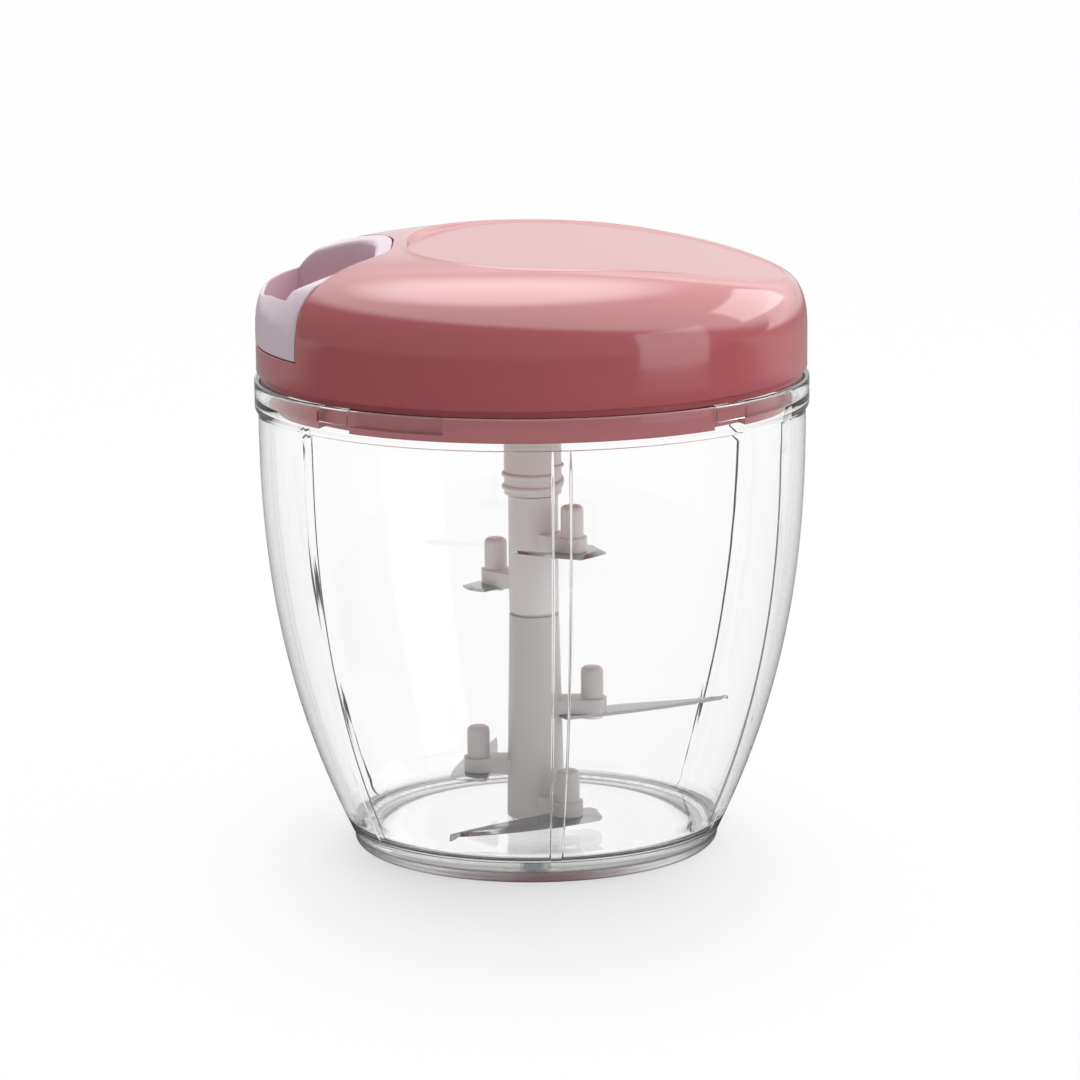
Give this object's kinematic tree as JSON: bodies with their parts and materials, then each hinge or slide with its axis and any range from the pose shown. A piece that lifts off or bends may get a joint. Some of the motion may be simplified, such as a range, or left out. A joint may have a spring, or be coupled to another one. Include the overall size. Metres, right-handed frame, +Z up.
{
  "type": "pull-string food chopper",
  "caption": "Hand food chopper: clear bowl, domed lid with a spring-wound cord reel, and a ring handle whose pull spins a shaft of curved steel blades.",
  "frame": {"origin": "centre of the foot ring, on the table", "axes": "+Z up the shaft, -X the way the handle is pulled"},
  "size_m": [0.13, 0.13, 0.1431],
  "materials": {
    "clear_plastic": "clear moulded plastic, polished",
    "pink_plastic": "glossy moulded plastic",
    "pale_plastic": "glossy moulded plastic",
    "shaft_plastic": "fine satin moulded plastic",
    "reel_plastic": "plain moulded plastic",
    "blade_steel": "polished blade steel",
    "steel": "drawn steel",
    "brass": "plain brass",
    "cord": "braided cord"
  },
  "bodies": {
    "bowl": {"bowl": "clear_plastic", "pivot_pin": "steel"},
    "blade_set": {"lower_shaft": "shaft_plastic", "upper_shaft": "shaft_plastic", "lower_rivets": "steel", "upper_rivets": "steel", "blade_1": "blade_steel", "blade_2": "blade_steel", "blade_3": "blade_steel", "blade_4": "blade_steel", "blade_5": "blade_steel"},
    "lid_axle": {"axle_pin": "steel"},
    "lid": {"lid_cover": "pink_plastic", "lid_base": "pink_plastic", "lid_screws": "steel", "bearing_bush": "reel_plastic", "cord_eyelet": "brass", "cord_lead": "cord", "rewind_spring": "steel"},
    "reel": {"reel": "reel_plastic", "reel_cap": "reel_plastic", "cord_winding": "cord", "drive_sleeve": "shaft_plastic", "sleeve_screw": "steel"},
    "handle": {"pull_handle": "pale_plastic", "cord_stopper": "brass", "pull_cord": "cord"}
  },
  "joints": [
    {"name": "lid_lift", "type": "slide", "parent": "bowl", "child": "lid_axle", "axis": [0, 0, 1], "range_m": [0, 0.12]},
    {"name": "lid_twist", "type": "hinge", "parent": "lid_axle", "child": "lid", "pos_m": [0, 0, 0.12], "axis": [0, 0, -1], "range_deg": [0, 22]},
    {"name": "handle_pull", "type": "slide", "parent": "lid", "child": "handle", "axis": [-1, 0, 0], "range_m": [0, 0.42], "stiffness_N_per_m": 10, "springref_m": -0.2, "deforming": ["pull_cord"]},
    {"name": "reel_spin", "type": "hinge", "parent": "lid", "child": "reel", "pos_m": [0, 0, 0.12], "axis": [0, 0, 1], "range_deg": [0, 1110], "deforming": ["rewind_spring"]},
    {"name": "blade_spin", "type": "hinge", "parent": "bowl", "child": "blade_set", "pos_m": [0, 0, 0.02], "axis": [0, 0, 1], "range_deg": [0, 1110]}
  ],
  "couplings": [
    {"joint": "reel_spin", "follows": "handle_pull", "rad_per_m": 45.872},
    {"joint": "blade_spin", "follows": "handle_pull", "rad_per_m": 45.872}
  ]
}
